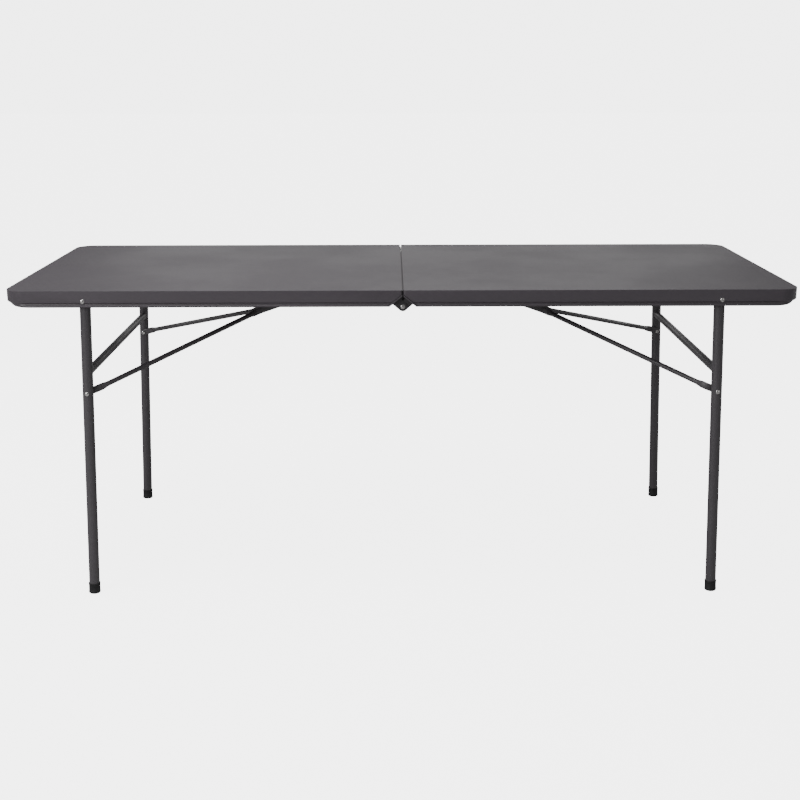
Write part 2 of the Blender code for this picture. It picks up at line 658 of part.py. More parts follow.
def build_bracket(side):
    """The pressed bracket screwed under the slab, with the pin that the link turns on."""
    name = f"brace_bracket_{SIDE_NAMES[side]}"
    seat = bracket_top - BRACKET_THICKNESS
    middle = side * anchor.x
    reach = BRACKET_LENGTH / 2
    plate = box_outline((middle - reach, -BRACKET_HALF_WIDTH), (middle + reach, BRACKET_HALF_WIDTH))
    bracket = add_piece(name, extruded([plate], seat, bracket_top), half_axes[side], hinge_paint)
    ear = arc(middle, anchor.y, BRACKET_EYE_RADIUS, 180, 360, 8)
    ear += [(middle + BRACKET_EYE_RADIUS, seat + BRACKET_THICKNESS / 2)]
    ear += [(middle - BRACKET_EYE_RADIUS, seat + BRACKET_THICKNESS / 2)]
    for edge in (-1, 1):
        depths = sorted((-edge * bracket_inner, -edge * bracket_outer))
        cheek = add_cutter(f"{name}_ear_{EDGE_NAMES[edge]}", extruded([ear], *depths, UPRIGHT_XZ))
        boolean(bracket, cheek, "UNION")
    reach = bracket_outer + CUTTER_OVERSHOOT
    hole = rod_mesh((middle, -reach, anchor.y), (middle, reach, anchor.y), bolt_hole)
    boolean(bracket, add_cutter(f"{name}_pin_hole", hole))
    for edge in (-1, 1):
        y = edge * BRACKET_SCREW_REACH
        screw_hole = rod_mesh(
            (middle, y, seat - CUTTER_OVERSHOOT), (middle, y, bracket_top + CUTTER_OVERSHOOT),
            SCREW_RADIUS + FIT_GAP,
        )
        boolean(bracket, add_cutter(f"{name}_screw_hole_{EDGE_NAMES[edge]}", screw_hole))
        screw(
            f"bracket_screw_{SIDE_NAMES[side]}_{EDGE_NAMES[edge]}", half_axes[side],
            (middle, y, seat - FIT_GAP), (0, 0, 1),
        )
    face = bracket_outer + FIT_GAP
    rivet(
        f"link_pin_{SIDE_NAMES[side]}", half_axes[side], middle, anchor.y, 1, -face, face, BOLT_RADIUS,
        BOLT_HEAD_RADIUS, tail=BOLT_HEAD_RADIUS,
    )


def build_hinge_pin(edge):
    """The rivet through both hinge ears of one edge. It stays with the left half."""
    rivet(
        f"hinge_pin_{EDGE_NAMES[edge]}", half_axes[-1], 0, hinge_height, edge,
        rail_inner_face[1] - FIT_GAP, rail_outer_face[-1] + FIT_GAP, HINGE_PIN_RADIUS, HINGE_HEAD_RADIUS,
        tail=HINGE_HEAD_RADIUS,
    )


ground = box_outline((-half_length, -half_width), (half_length, half_width))
floor = add_cutter("floor", extruded([ground], -FOOT_HEIGHT, 0))

for half_side in SIDES:
    build_half(half_side)
    build_crossbar(half_side)
    build_link(half_side)
    build_bracket(half_side)
for corner_side, corner_edge in CORNERS:
    build_rail(corner_side, corner_edge)
    build_leg(corner_side, corner_edge)
    build_arm(corner_side, corner_edge)
for hinge_edge in (-1, 1):
    build_hinge_pin(hinge_edge)
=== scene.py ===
import json
import math
import random

import bmesh
import bpy
from mathutils import Matrix, Vector


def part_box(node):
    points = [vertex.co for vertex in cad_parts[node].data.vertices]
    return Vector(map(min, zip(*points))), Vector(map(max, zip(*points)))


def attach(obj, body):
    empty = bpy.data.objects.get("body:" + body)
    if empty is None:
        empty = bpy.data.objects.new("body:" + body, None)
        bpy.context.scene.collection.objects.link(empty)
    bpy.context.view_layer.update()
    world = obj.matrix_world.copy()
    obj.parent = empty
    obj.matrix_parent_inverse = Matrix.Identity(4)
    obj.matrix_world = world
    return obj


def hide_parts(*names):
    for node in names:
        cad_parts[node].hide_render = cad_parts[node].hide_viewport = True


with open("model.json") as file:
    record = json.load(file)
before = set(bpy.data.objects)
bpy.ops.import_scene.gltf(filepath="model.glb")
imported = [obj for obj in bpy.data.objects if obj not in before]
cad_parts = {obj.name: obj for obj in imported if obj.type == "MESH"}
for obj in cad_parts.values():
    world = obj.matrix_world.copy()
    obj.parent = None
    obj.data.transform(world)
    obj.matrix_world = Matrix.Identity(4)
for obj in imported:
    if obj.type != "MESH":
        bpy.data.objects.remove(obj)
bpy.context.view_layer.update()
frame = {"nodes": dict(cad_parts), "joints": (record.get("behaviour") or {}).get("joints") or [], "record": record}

# Fold-in-half table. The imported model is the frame: every piece below is built round its nodes and joints.
# Each piece is modelled on the right half, at positive x, and mirrored for the left.

sides = {"left": -1, "right": 1}
edges = {"front": -1, "back": 1}
corners = [(side, edge) for side in sides for edge in edges]
joints = {joint["name"]: joint for joint in frame["joints"]}
mounts = {mount["name"]: mount for mount in frame["record"]["mounts"]}
scene = bpy.context.scene


# places read from the frame

def jointAt(name):
    return Vector(joints[name]["pos_m"])


def nodeMiddle(node):
    low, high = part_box(node)
    return (low + high) / 2


def nodeWidth(node):
    low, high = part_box(node)
    return high.y - low.y


topLow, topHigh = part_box("top_right")
tableTop, rimBottom = topHigh.z, topLow.z
seamX, endX, halfWidth = topLow.x, topHigh.x, topHigh.y
hingeAt = jointAt("top_fold")
legPivot = jointAt("leg_fold_right")
braceRivet = jointAt("brace_swing_right")
linkAnchor = jointAt("link_swing_right")
knuckle = nodeMiddle("knuckle_rivet_right_back")
crossbarAt = nodeMiddle("crossbar_right")
footSpot = Vector(mounts["foot_right_back"]["pos_m"])
legOffset = footSpot.y
legUp = (legPivot - Vector((footSpot.x, 0, footSpot.z))).normalized()
legRadius = nodeWidth("leg_right_back") / 2
footRadius = nodeWidth("foot_right_back") / 2
bracketLow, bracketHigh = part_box("brace_bracket_right")
slabBottom = bracketHigh.z + 0.0003
print("frame loaded:", len(frame["nodes"]), "nodes")


# camera and studio

cameraView = {"place": (-0.0262, -3.1462, 1.2313), "yaw": 0.40, "pitch": 15.04, "roll": -0.09, "lens": 56.27}


def makeCamera():
    camera = bpy.data.objects.new("camera", bpy.data.cameras.new("camera"))
    camera.data.lens = cameraView["lens"]
    camera.data.sensor_width = 36
    turn = Matrix.Rotation(-math.radians(cameraView["yaw"]), 4, "Z")
    tilt = Matrix.Rotation(math.radians(90 - cameraView["pitch"]), 4, "X")
    roll = Matrix.Rotation(math.radians(cameraView["roll"]), 4, "Z")
    camera.matrix_world = Matrix.Translation(cameraView["place"]) @ turn @ tilt @ roll
    scene.collection.objects.link(camera)
    scene.camera = camera


studio = {
    "world": 0.26, "glow": 4.6, "floorSize": 60, "floorTone": 0.5, "floorRoughness": 0.9,
    "softboxes": {                       # place, what it faces, width, height, power
        "overhead": ((-0.7, -0.5, 3.0), (-0.3, 0, 0.7), 2.2, 1.6, 28),
        "edgeGlint": ((-1.15, -0.75, 2.6), (-0.7, -0.37, 0.73), 0.9, 0.25, 16),
        "backSheen": ((0.15, 4.4, 1.9), (0, 0, 0.74), 3.8, 1.6, 13),
        "frontLeft": ((-2.6, -3.0, 1.9), (-0.5, -0.3, 0.5), 1.3, 1.5, 70),
        "frontRight": ((2.6, -3.6, 1.5), (0.4, 0, 0.4), 1.4, 1.6, 8),
        "leftEnd": ((-4.2, 1.2, 1.6), (-0.6, 0, 0.5), 1.8, 1.6, 26),
        "rightEnd": ((4.2, 1.2, 1.6), (0.6, 0, 0.5), 1.8, 1.6, 36),
    },
}


def whiteToCamera(tree, socket, otherwise):
    # the room looks white, while its light on the object stays soft
    isCamera = tree.nodes.new("ShaderNodeLightPath").outputs["Is Camera Ray"]
    strength = mathNode(tree, "MULTIPLY_ADD", isCamera, studio["glow"] - otherwise, otherwise)
    feed(tree, strength, socket)


def makeWorld():
    world = bpy.data.worlds.new("studio")
    world.use_nodes = True
    background = world.node_tree.nodes["Background"]
    background.inputs["Color"].default_value = (1, 1, 1, 1)
    whiteToCamera(world.node_tree, background.inputs["Strength"], studio["world"])
    scene.world = world


def makeSoftbox(name, spot, target, width, height, power):
    light = bpy.data.lights.new(name, "AREA")
    light.shape = "RECTANGLE"
    light.size, light.size_y, light.energy = width, height, power
    softbox = bpy.data.objects.new(name, light)
    facing = (Vector(target) - Vector(spot)).to_track_quat("-Z", "Y")
    softbox.matrix_world = Matrix.Translation(spot) @ facing.to_matrix().to_4x4()
    scene.collection.objects.link(softbox)


def makeFloor():
    bm = bmesh.new()
    bmesh.ops.create_grid(bm, x_segments=1, y_segments=1, size=studio["floorSize"] / 2)
    mesh = bpy.data.meshes.new("floor")
    bm.to_mesh(mesh)
    bm.free()
    floor = bpy.data.objects.new("floor", mesh)
    scene.collection.objects.link(floor)
    paper, tree, shader = startMaterial("palePaper")
    shader.inputs["Base Color"].default_value = (*[studio["floorTone"]] * 3, 1)
    shader.inputs["Roughness"].default_value = studio["floorRoughness"]
    shader.inputs["Emission Color"].default_value = (1, 1, 1, 1)
    whiteToCamera(tree, shader.inputs["Emission Strength"], 0)
    mesh.materials.append(paper)


# shader nodes

def mathNode(tree, operation, *values):
    node = tree.nodes.new("ShaderNodeMath")
    node.operation = operation
    for index, value in enumerate(values):
        feed(tree, value, node.inputs[index])
    return node.outputs[0]


def feed(tree, value, socket):
    if isinstance(value, bpy.types.NodeSocket):
        tree.links.new(value, socket)
    else:
        socket.default_value = value


def noiseNode(tree, where, scale, detail=3, roughness=0.5):
    node = tree.nodes.new("ShaderNodeTexNoise")
    node.inputs["Detail"].default_value = detail
    node.inputs["Roughness"].default_value = roughness
    feed(tree, where, node.inputs["Vector"])
    feed(tree, scale, node.inputs["Scale"])
    return node.outputs["Fac"]


def rangeNode(tree, value, low, high, toLow=0.0, toHigh=1.0):
    node = tree.nodes.new("ShaderNodeMapRange")
    node.interpolation_type = "SMOOTHSTEP"
    labels = ("Value", "From Min", "From Max", "To Min", "To Max")
    for label, number in zip(labels, (value, low, high, toLow, toHigh)):
        feed(tree, number, node.inputs[label])
    return node.outputs["Result"]


def startGroup(name, inputs, outputs):
    # a group of number sockets, given back with its inputs, its outputs and the object's coordinates
    group = bpy.data.node_groups.new(name, "ShaderNodeTree")
    for label, value in inputs.items():
        socket = group.interface.new_socket(label, in_out="INPUT", socket_type="NodeSocketFloat")
        socket.default_value = value
    for label in outputs:
        group.interface.new_socket(label, in_out="OUTPUT", socket_type="NodeSocketFloat")
    where = group.nodes.new("ShaderNodeTexCoord").outputs["Object"]
    given = group.nodes.new("NodeGroupInput").outputs
    out = group.nodes.new("NodeGroupOutput").inputs
    return group, given, out, where


def makePebble():
    # moulded grain: small rounded cells with a finer tooth on them
    group, given, out, where = startGroup("pebbleGrain", {"Cell": 0.0016, "Tooth": 0.35}, ("Height",))
    cells = group.nodes.new("ShaderNodeTexVoronoi")
    cells.feature = "SMOOTH_F1"
    cells.inputs["Smoothness"].default_value = 0.6
    feed(group, where, cells.inputs["Vector"])
    density = mathNode(group, "DIVIDE", 1.0, given["Cell"])
    feed(group, density, cells.inputs["Scale"])
    dome = rangeNode(group, cells.outputs["Distance"], 0.05, 0.75, 1.0, 0.0)
    tooth = noiseNode(group, where, mathNode(group, "MULTIPLY", density, 2.7), 2)
    height = mathNode(group, "MULTIPLY_ADD", tooth, given["Tooth"], dome)
    feed(group, height, out["Height"])
    return group


def makeOrangePeel():
    # powder coat: a soft ripple under a fine grit
    inputs = {"Ripple": 240.0, "Grit": 1500.0, "Grit Share": 0.3}
    group, given, out, where = startGroup("orangePeel", inputs, ("Height",))
    ripple = noiseNode(group, where, given["Ripple"], 1)
    grit = noiseNode(group, where, given["Grit"], 2, 0.6)
    height = mathNode(group, "MULTIPLY_ADD", grit, given["Grit Share"], ripple)
    feed(group, height, out["Height"])
    return group


def makeEdgeWear():
    # 1 along raised edges, broken up so that it doesn't read as an outline
    group, given, out, where = startGroup("edgeWear", {"From": 0.52, "To": 0.60, "Breakup": 60.0}, ("Mask",))
    pointed = group.nodes.new("ShaderNodeNewGeometry").outputs["Pointiness"]
    raised = rangeNode(group, pointed, given["From"], given["To"])
    patches = rangeNode(group, noiseNode(group, where, given["Breakup"], 4, 0.65), 0.38, 0.62)
    feed(group, mathNode(group, "MULTIPLY", raised, patches), out["Mask"])
    return group


def makeHandling():
    # wide smears and thin dust, for roughness and colour
    group, given, out, where = startGroup("handling", {"Smear": 3.0, "Dust": 160.0}, ("Smear", "Dust"))
    smear = rangeNode(group, noiseNode(group, where, given["Smear"], 5, 0.55), 0.32, 0.68)
    speck = rangeNode(group, noiseNode(group, where, given["Dust"], 6, 0.75), 0.60, 0.78)
    feed(group, smear, out["Smear"])
    feed(group, mathNode(group, "MULTIPLY", speck, smear), out["Dust"])
    return group


def placeGroup(tree, group, values):
    node = tree.nodes.new("ShaderNodeGroup")
    node.node_tree = group
    for label, value in values.items():
        node.inputs[label].default_value = value
    return node.outputs


def mixColor(tree, factor, first, second):
    node = tree.nodes.new("ShaderNodeMix")
    node.data_type = "RGBA"
    feed(tree, factor, node.inputs["Factor"])
    for socket, color in ((node.inputs[6], first), (node.inputs[7], second)):
        feed(tree, (*color, 1) if isinstance(color, tuple) else color, socket)
    return node.outputs[2]


def startMaterial(name):
    material = bpy.data.materials.new(name)
    material.use_nodes = True
    return material, material.node_tree, material.node_tree.nodes["Principled BSDF"]


def addBump(tree, shader, height, strength, distance):
    bump = tree.nodes.new("ShaderNodeBump")
    bump.inputs["Strength"].default_value = strength
    bump.inputs["Distance"].default_value = distance
    feed(tree, height, bump.inputs["Height"])
    feed(tree, bump.outputs["Normal"], shader.inputs["Normal"])


# color turns to smeared in the smears, and to worn on the edges and in the dust, by the shares given
finishShape = {
    "mouldedPlastic": {
        "color": (0.064, 0.055, 0.065), "smeared": (0.0665, 0.0575, 0.0675), "worn": (0.15, 0.14, 0.15),
        "edgeShare": 0.25, "dustShare": 0.12, "roughness": (0.42, 0.48),
        "marks": {"Smear": 2.6, "Dust": 210.0}, "edges": {"From": 0.55, "To": 0.64, "Breakup": 70.0},
        "pebble": {"Cell": 0.0016, "Tooth": 0.35}, "strength": 0.22, "depth": 0.00025,
    },
    "framePaint": {
        "color": (0.066, 0.060, 0.066), "worn": (0.092, 0.085, 0.091),
        "edgeShare": 0.35, "dustShare": 0.15, "roughness": (0.34, 0.46),
        "marks": {"Smear": 9.0, "Dust": 260.0}, "edges": {"From": 0.53, "To": 0.62, "Breakup": 90.0},
        "peel": {"Ripple": 260.0, "Grit": 1700.0, "Grit Share": 0.3}, "strength": 0.25, "depth": 0.0002,
    },
    "zincPlate": {
        "color": (0.66, 0.65, 0.64), "smeared": (0.42, 0.41, 0.40), "metallic": 1, "roughness": (0.12, 0.24),
        "marks": {"Smear": 140.0, "Dust": 900.0},
        "peel": {"Ripple": 900.0, "Grit": 4000.0, "Grit Share": 0.4}, "strength": 0.12, "depth": 0.00008,
    },
    "capPlastic": {
        "color": (0.007, 0.007, 0.008), "worn": (0.020, 0.019, 0.019),
        "edgeShare": 0.5, "dustShare": 0.4, "roughness": (0.58, 0.74),
        "marks": {"Smear": 45.0, "Dust": 500.0}, "edges": {"From": 0.52, "To": 0.60, "Breakup": 160.0},
        "pebble": {"Cell": 0.0006, "Tooth": 0.5}, "strength": 0.3, "depth": 0.0001,
    },
}
finishShape["hingePaint"] = {             # the same coat, darker and more rubbed
    **finishShape["framePaint"],
    "color": (0.032, 0.029, 0.032), "worn": (0.080, 0.074, 0.078), "edgeShare": 0.75,
}


def makeFinish(name):
    finish = finishShape[name]
    material, tree, shader = startMaterial(name)
    marks = placeGroup(tree, handling, finish["marks"])
    color = finish["color"]
    if "smeared" in finish:
        color = mixColor(tree, marks["Smear"], color, finish["smeared"])
    if "worn" in finish:
        edgeMask = placeGroup(tree, edgeWear, finish["edges"])["Mask"]
        for mask, share in ((edgeMask, finish["edgeShare"]), (marks["Dust"], finish["dustShare"])):
            color = mixColor(tree, mathNode(tree, "MULTIPLY", mask, share), color, finish["worn"])
    feed(tree, color, shader.inputs["Base Color"])
    feed(tree, rangeNode(tree, marks["Smear"], 0.0, 1.0, *finish["roughness"]), shader.inputs["Roughness"])
    shader.inputs["Metallic"].default_value = finish.get("metallic", 0)
    if "pebble" in finish:
        height = placeGroup(tree, pebbleGrain, finish["pebble"])["Height"]
    else:
        height = placeGroup(tree, orangePeel, finish["peel"])["Height"]
    addBump(tree, shader, height, finish["strength"], finish["depth"])
    return material


makeCamera()
makeWorld()
for name, softbox in studio["softboxes"].items():
    makeSoftbox(name, *softbox)
makeFloor()
pebbleGrain, orangePeel, edgeWear, handling = makePebble(), makeOrangePeel(), makeEdgeWear(), makeHandling()
slotFinishes = {
    "top_plastic": "mouldedPlastic", "frame_paint": "framePaint", "hinge_paint": "hingePaint",
    "bright_steel": "zincPlate", "foot_plastic": "capPlastic",
}
finishes = {slot: makeFinish(name) for slot, name in slotFinishes.items()}
print("studio and materials ready")


# mesh helpers. A bmesh is in world metres once it has been placed.

fits = {"bore": 0.00335, "screwBore": 0.0021, "merge": 1e-6}

def makeMesh(bm, name, sharpAngle=32):
    bmesh.ops.remove_doubles(bm, verts=bm.verts, dist=fits["merge"])
    bmesh.ops.recalc_face_normals(bm, faces=bm.faces)
    mesh = bpy.data.meshes.new(name)
    bm.to_mesh(mesh)
    bm.free()
    mesh.shade_smooth()
    mesh.set_sharp_from_angle(angle=math.radians(sharpAngle))
    return mesh


def addPiece(name, bm, body, slotName, *nodes, sharpAngle=32):
    mesh = makeMesh(bm, name, sharpAngle)
    mesh.materials.append(finishes[slotName])
    piece = bpy.data.objects.new(name, mesh)
    scene.collection.objects.link(piece)
    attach(piece, body)
    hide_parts(*nodes)
    return piece


def combine(bm, tools, operation="DIFFERENCE"):
    # exact Boolean of bm with each tool in turn, then a clean bmesh again
    piece = bpy.data.objects.new("work", makeMesh(bm, "work"))
    scene.collection.objects.link(piece)
    cutters = []
    for tool in tools:
        cutter = bpy.data.objects.new("tool", makeMesh(tool, "tool"))
        scene.collection.objects.link(cutter)
        modifier = piece.modifiers.new("tool", "BOOLEAN")
        modifier.operation, modifier.object = operation, cutter
        cutters.append(cutter)
    bpy.context.view_layer.update()
    result = bmesh.new()
    result.from_object(piece, bpy.context.evaluated_depsgraph_get())
    bpy.data.objects.remove(piece)
    for cutter in cutters:
        bpy.data.objects.remove(cutter)
    bmesh.ops.remove_doubles(result, verts=result.verts, dist=fits["merge"])
    bmesh.ops.dissolve_degenerate(result, edges=result.edges, dist=fits["merge"])
    return result


def softenEdges(bm, width, angle=40, segments=2):
    # rounds every edge that turns more than the angle
    closed = [edge for edge in bm.edges if len(edge.link_faces) == 2]
    crisp = [edge for edge in closed if edge.calc_face_angle() > math.radians(angle)]
    bmesh.ops.bevel(
        bm, geom=crisp, offset=width, affect="EDGES", segments=segments, profile=0.5, material=-1,
        clamp_overlap=True,
    )
    return bm


def place(bm, start, direction=(0, 0, 1)):
    turn = Vector(direction).to_track_quat("Z", "Y").to_matrix().to_4x4()
    bmesh.ops.transform(bm, matrix=Matrix.Translation(start) @ turn, verts=bm.verts)
    return bm


def mirrored(bm, side, edge="back"):
    bmesh.ops.scale(bm, vec=(sides[side], edges[edge], 1), verts=bm.verts)
    return bm


def block(low, high):
    bm = bmesh.new()
    bmesh.ops.create_cube(bm, size=1)
    bmesh.ops.scale(bm, vec=Vector(high) - Vector(low), verts=bm.verts)
    bmesh.ops.translate(bm, vec=(Vector(low) + Vector(high)) / 2, verts=bm.verts)
    return bm


def rod(start, end, radius, steps=32):
    start, end = Vector(start), Vector(end)
    bm = bmesh.new()
    bmesh.ops.create_cone(
        bm, cap_ends=True, segments=steps, radius1=radius, radius2=radius, depth=(end - start).length,
    )
    return place(bm, (start + end) / 2, end - start)


def hole(x, z, middle, reach, radius=fits["bore"]):
    # a cutter through a piece along y
    return rod((x, middle - reach, z), (x, middle + reach, z), radius)


def prism(points, low, high):
    # an outline in x and z, pulled from y low to y high
    bm = bmesh.new()
    ring = [bm.verts.new((x, low, z)) for x, z in points]
    bm.faces.new(ring)
    made = bmesh.ops.extrude_face_region(bm, geom=bm.faces[:])["geom"]
    pulled = [item for item in made if isinstance(item, bmesh.types.BMVert)]
    bmesh.ops.translate(bm, vec=(0, high - low, 0), verts=pulled)
    bmesh.ops.recalc_face_normals(bm, faces=bm.faces)
    return bm


def turned(profile, steps=48):
    # a profile of (radius, height) points spun about z
    bm = bmesh.new()
    line = [bm.verts.new((radius, 0, height)) for radius, height in profile]
    for first, second in zip(line, line[1:]):
        bm.edges.new((first, second))
    bmesh.ops.spin(
        bm, geom=bm.verts[:] + bm.edges[:], cent=(0, 0, 0), axis=(0, 0, 1), dvec=(0, 0, 0), angle=math.tau,
        steps=steps, use_merge=True, use_duplicate=False,
    )
    bmesh.ops.remove_doubles(bm, verts=bm.verts, dist=fits["merge"])
    bmesh.ops.dissolve_degenerate(bm, edges=bm.edges, dist=1e-7)
    bmesh.ops.recalc_face_normals(bm, faces=bm.faces)
    return bm


def arc(x, y, radius, start, end, steps):
    angles = [math.radians(start + (end - start) * i / steps) for i in range(steps + 1)]
    return [(x + radius * math.cos(angle), y + radius * math.sin(angle)) for angle in angles]


def quarterTurn(steps):
    return [math.pi / 2 * i / steps for i in range(steps + 1)]


def pour(bm, other):
    # adds the other bmesh to bm, and frees it
    mesh = bpy.data.meshes.new("part")
    other.to_mesh(mesh)
    other.free()
    bm.from_mesh(mesh)
    bpy.data.meshes.remove(mesh)


# tabletop halves

topShape = {
    "edgeRound": 0.0055, "edgeSteps": 9, "flatBorder": 0.006,
    "outerCorner": 0.045, "cornerSteps": 16, "seamCorner": 0.0042, "seamSteps": 6,
    # rim rings below the rounded edge: height above the rim bottom, inset of the long sides and of the end
    "rim": [
        (0.0128, 0.0000, 0.0000), (0.0112, 0.0002, 0.0016), (0.0101, 0.0014, 0.0030),
        (0.0093, 0.0029, 0.0040), (0.0086, 0.0034, 0.0048), (0.0078, 0.0032, 0.0057),
        (0.0064, 0.0023, 0.0074), (0.0047, 0.0011, 0.0094), (0.0036, 0.0006, 0.0107),
        (0.0025, 0.0008, 0.0120), (0.0013, 0.0016, 0.0135), (0.0004, 0.0026, 0.0149),
        (0.0000, 0.0036, 0.0160),
    ],
    "recessEnd": 0.038, "seamWall": 0.010, "recessFillet": 0.003, "mouthRound": 0.0006, "railGap": 0.0003,
    "channelInner": 0.327, "channelRise": 0.004, "channelEnd": 0.7363, "channelRound": 0.0015,
    "notchHalf": 0.031, "notchHeight": 0.0248, "grooveDepth": 0.0030, "boltHole": 0.012,
    "lipWidth": 0.0034, "lipGroove": 0.0012, "lipInset": 0.0006, "lipRound": 0.0016, "lipFoot": 0.0003,
    "lipBuried": 0.003, "past": 0.004,   # how far a cutter goes past a face
    "tongue": {
        "reach": 0.0009, "aboveRim": 0.0025, "belowTop": 0.0035, "fromRecess": 0.0075, "buried": 0.001,
    },
}
tackShape = {
    "pitchX": 0.052, "pitchY": 0.050, "depth": 0.0055, "radius": 0.0075, "mouth": 1.25, "tip": 0.6,
    "soften": 0.0016, "start": 0.045, "fromEnd": 0.03, "reach": 0.30, "bracketX": 0.024, "bracketY": 0.045,
}


def stepDown(bm, edgeRing, height, was, now):
    # pulls the open ring of edges to a new height, and refits it from one rectangle to the next:
    # each is where it starts in x, its length and half its width
    made = bmesh.ops.extrude_edge_only(bm, edges=edgeRing)["geom"]
    newRing = [item for item in made if isinstance(item, bmesh.types.BMEdge)]
    for vert in {vert for edge in newRing for vert in edge.verts}:
        vert.co.x = now[0] + (vert.co.x - was[0]) * now[1] / was[1]
        vert.co.y = vert.co.y * now[2] / was[2]
        vert.co.z = height
    return newRing


def notchOutline(offset, low):
    # the inverted V over the centre hinge, moved outwards by the offset
    half, tall = topShape["notchHalf"], topShape["notchHeight"]
    slope = math.hypot(half, tall)
    wide, high = half + offset * slope / tall, tall + offset * slope / half
    return [(-wide, low), (wide, low), (wide, rimBottom), (0, rimBottom + high), (-wide, rimBottom)]


def makeLid(bm):
    # the outline with its corners rounded, then a rounded top edge; gives back the outline's edges
    shape = topShape
    bmesh.ops.create_grid(bm, x_segments=1, y_segments=1, size=0.5)
    bmesh.ops.scale(bm, vec=(endX - seamX, 2 * halfWidth, 1), verts=bm.verts)
    bmesh.ops.translate(bm, vec=((seamX + endX) / 2, 0, tableTop - shape["edgeRound"]), verts=bm.verts)
    outer, inner = (shape["outerCorner"], shape["cornerSteps"]), (shape["seamCorner"], shape["seamSteps"])
    for cornerX, (radius, steps) in ((endX, outer), (seamX, inner)):
        square = [vert for vert in bm.verts if abs(vert.co.x - cornerX) < fits["merge"]]
        bmesh.ops.bevel(
            bm, geom=square, offset=radius, affect="VERTICES", segments=steps, profile=0.5, material=-1,
        )
    lid = bm.faces[:][0]
    if lid.normal.z < 0:
        lid.normal_flip()
    outline = lid.edges[:]
    angleStep = math.pi / 2 / shape["edgeSteps"]
    for i in range(shape["edgeSteps"]):    # each inset rises as it goes in
        inward = shape["edgeRound"] * (math.cos(i * angleStep) - math.cos((i + 1) * angleStep))
        upward = shape["edgeRound"] * (math.sin((i + 1) * angleStep) - math.sin(i * angleStep))
        bmesh.ops.inset_region(bm, faces=[lid], thickness=inward, depth=upward, use_even_offset=True)
    bmesh.ops.inset_region(bm, faces=[lid], thickness=shape["flatBorder"], depth=0, use_even_offset=True)
    return outline


def makeWalls(bm, ring, recessHalf):
    # outer wall, groove and lip, then the recess with a small fillet at its mouth and its roof
    shape = topShape
    length = endX - seamX
    fitted = (seamX, length, halfWidth)
    for height, sideInset, endInset in shape["rim"]:
        following = (seamX, length - endInset, halfWidth - sideInset)
        ring = stepDown(bm, ring, rimBottom + height, fitted, following)
        fitted = following
    mouth, fillet = shape["mouthRound"], shape["recessFillet"]
    rings = [(rimBottom, mouth), (rimBottom + mouth, 0), (slabBottom - fillet, 0)]
    for angle in (0.5, 1.05, math.pi / 2):
        rings.append((slabBottom - fillet * (1 - math.sin(angle)), -fillet * (1 - math.cos(angle))))
    recessLength = length - shape["seamWall"] - shape["recessEnd"]
    for height, outward in rings:
        following = (seamX + shape["seamWall"] - outward, recessLength + 2 * outward, recessHalf + outward)
        ring = stepDown(bm, ring, height, fitted, following)
        fitted = following
    bmesh.ops.edgeloop_fill(bm, edges=ring)


def makeLip(edge, recessHalf):
    # the raised band along one side of the notch
    shape = topShape
    outline = notchOutline(shape["lipWidth"], 0)
    wide, peak = outline[2][0], outline[3][1]
    slope = (peak - rimBottom) / wide
    foot = rimBottom + shape["lipFoot"]
    points = [(seamX, foot), (wide - shape["lipFoot"], foot), (seamX, rimBottom + slope * (wide - seamX))]
    depth = sorted((edge * (recessHalf + shape["lipBuried"]), edge * (halfWidth - shape["lipInset"])))
    return softenEdges(prism(points, *depth), shape["lipRound"], segments=4)


def makeHalf(side):
    shape, past = topShape, topShape["past"]
    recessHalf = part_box(f"side_rail_{side}_back")[1].y + shape["railGap"]
    bm = bmesh.new()
    makeWalls(bm, makeLid(bm), recessHalf)

    channels = []                          # room for the folded legs, and the groove round the notch
    for edge in edges.values():
        walls = sorted((edge * shape["channelInner"], edge * (recessHalf - 0.0002)))
        low = (-0.01, walls[0], rimBottom - 0.01)
        high = (shape["channelEnd"], walls[1], slabBottom + shape["channelRise"])
        channels.append(softenEdges(block(low, high), shape["channelRound"], segments=3))
        deep = sorted((edge * (halfWidth - shape["grooveDepth"]), edge * (halfWidth + past)))
        channels.append(prism(notchOutline(shape["lipWidth"] + shape["lipGroove"], rimBottom - past), *deep))
    bm = combine(bm, channels)
    bm = combine(bm, [makeLip(edge, recessHalf) for edge in edges.values()], "UNION")

    openings = []                          # the notch over the hinge and the leg bolts' holes
    for edge in edges.values():
        through = sorted((edge * (recessHalf - past), edge * (halfWidth + past)))
        openings.append(prism(notchOutline(0, rimBottom - past), *through))
        openings.append(hole(legPivot.x, legPivot.z, edge * halfWidth, shape["boltHole"]))
    bm = combine(bm, [*openings, tackOffs()])
    if side == "left":
        # a tongue that fills most of the gap at the seam
        tongue = shape["tongue"]
        ends = recessHalf - tongue["fromRecess"]
        low = (-tongue["reach"], -ends, rimBottom + tongue["aboveRim"])
        high = (seamX + tongue["buried"], ends, tableTop - tongue["belowTop"])
        bm = combine(bm, [block(low, high)], "UNION")
    return mirrored(bm, side)


